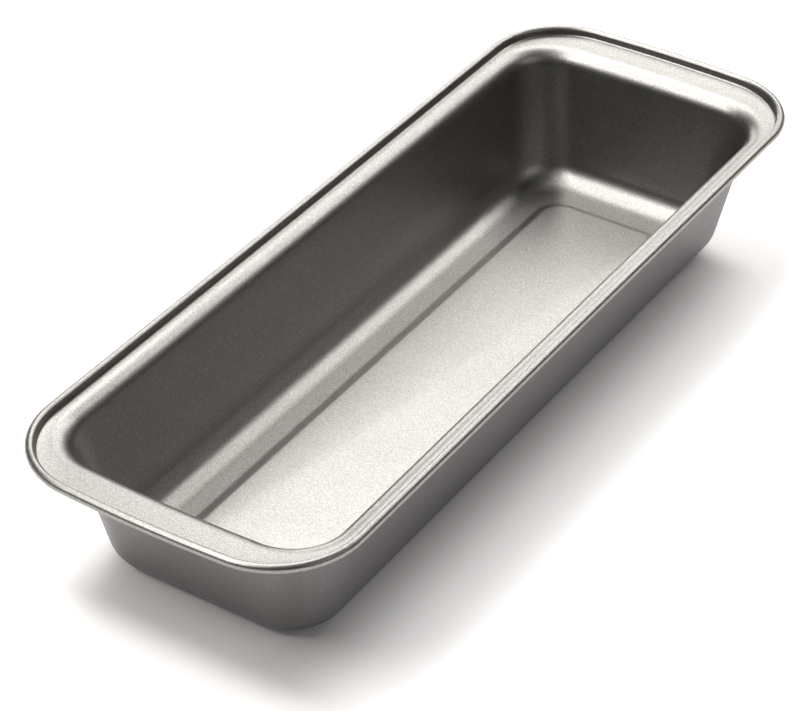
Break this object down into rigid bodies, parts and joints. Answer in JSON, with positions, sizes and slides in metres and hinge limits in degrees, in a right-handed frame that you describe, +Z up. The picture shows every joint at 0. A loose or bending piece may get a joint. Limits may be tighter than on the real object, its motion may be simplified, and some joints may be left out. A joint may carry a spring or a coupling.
{
  "type": "rectangular cake pan",
  "caption": "Long rectangular cake pan of coated drawn steel: drafted walls, rounded corners, raised floor panel, flat flange and a wired rolled rim. It bakes a loaf or long cake.",
  "frame": {"origin": "on the surface that the pan stands on, under the middle of the pan", "axes": "+X along the pan's length, +Y across it, +Z up, out of its mouth"},
  "size_m": [0.3028, 0.1084, 0.0481],
  "materials": {
    "drawn_steel": "cold-rolled steel sheet, grey primed, satin",
    "steel_wire": "plain drawn steel wire",
    "nonstick_film": "metallic grey non-stick film with a fine speckle, satin sheen",
    "outside_film": "dark metallic grey heat-resistant film, satin sheen"
  },
  "bodies": {
    "root": {"pan_body": "drawn_steel", "rim_wire": "steel_wire", "inner_nonstick_coating": "nonstick_film", "outer_coating": "outside_film"}
  },
  "joints": []
}
